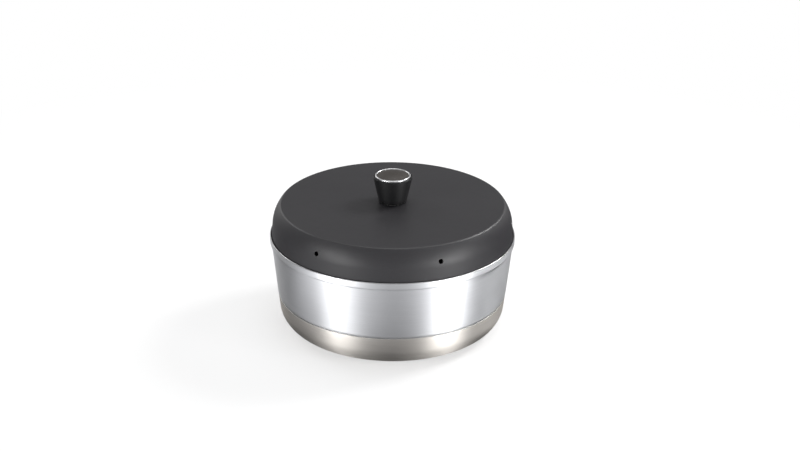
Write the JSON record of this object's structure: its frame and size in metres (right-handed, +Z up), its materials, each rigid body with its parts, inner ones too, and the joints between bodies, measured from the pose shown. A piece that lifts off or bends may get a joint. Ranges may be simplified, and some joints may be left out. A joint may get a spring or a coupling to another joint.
{
  "type": "stovetop camp oven",
  "caption": "Round stovetop camp oven: dish base, ring tin with a flue, wire rack and vented cover with a knob, each lifting off the one below.",
  "frame": {"origin": "centre of the base's underside", "axes": "+Z up along the oven's axis, the front faces -Y, +X to the viewer's right"},
  "size_m": [0.26, 0.26, 0.1692],
  "materials": {
    "base_steel": "satin",
    "tin_aluminium": "brushed outside, glossy black non-stick inside",
    "rack_wire": "polished",
    "cover_coat": "satin charcoal",
    "knob_plastic": "satin black",
    "gasket_felt": "felt",
    "insert_brass": "turned",
    "trim_chrome": "polished",
    "cap_coat": "satin",
    "screw_steel": "plated"
  },
  "bodies": {
    "base": {"base_dish": "base_steel"},
    "tin": {"baking_tin": "tin_aluminium"},
    "rack": {"rack_ring_outer": "rack_wire", "rack_ring_second": "rack_wire", "rack_ring_third": "rack_wire", "rack_ring_inner": "rack_wire", "rack_spoke_front_right": "rack_wire", "rack_spoke_back_right": "rack_wire", "rack_spoke_back_left": "rack_wire", "rack_spoke_front_left": "rack_wire"},
    "cover": {"cover_shell": "cover_coat", "knob_gasket": "gasket_felt", "knob_body": "knob_plastic", "knob_insert": "insert_brass", "knob_trim_ring": "trim_chrome", "knob_cap": "cap_coat", "knob_washer": "screw_steel", "knob_screw": "screw_steel"}
  },
  "joints": [
    {"name": "tin_lift", "type": "slide", "parent": "base", "child": "tin", "axis": [0, 0, 1], "range_m": [0, 0.051]},
    {"name": "rack_lift", "type": "slide", "parent": "tin", "child": "rack", "axis": [0, 0, 1], "range_m": [0, 0.088]},
    {"name": "cover_lift", "type": "slide", "parent": "tin", "child": "cover", "axis": [0, 0, 1], "range_m": [0, 0.1226]}
  ]
}
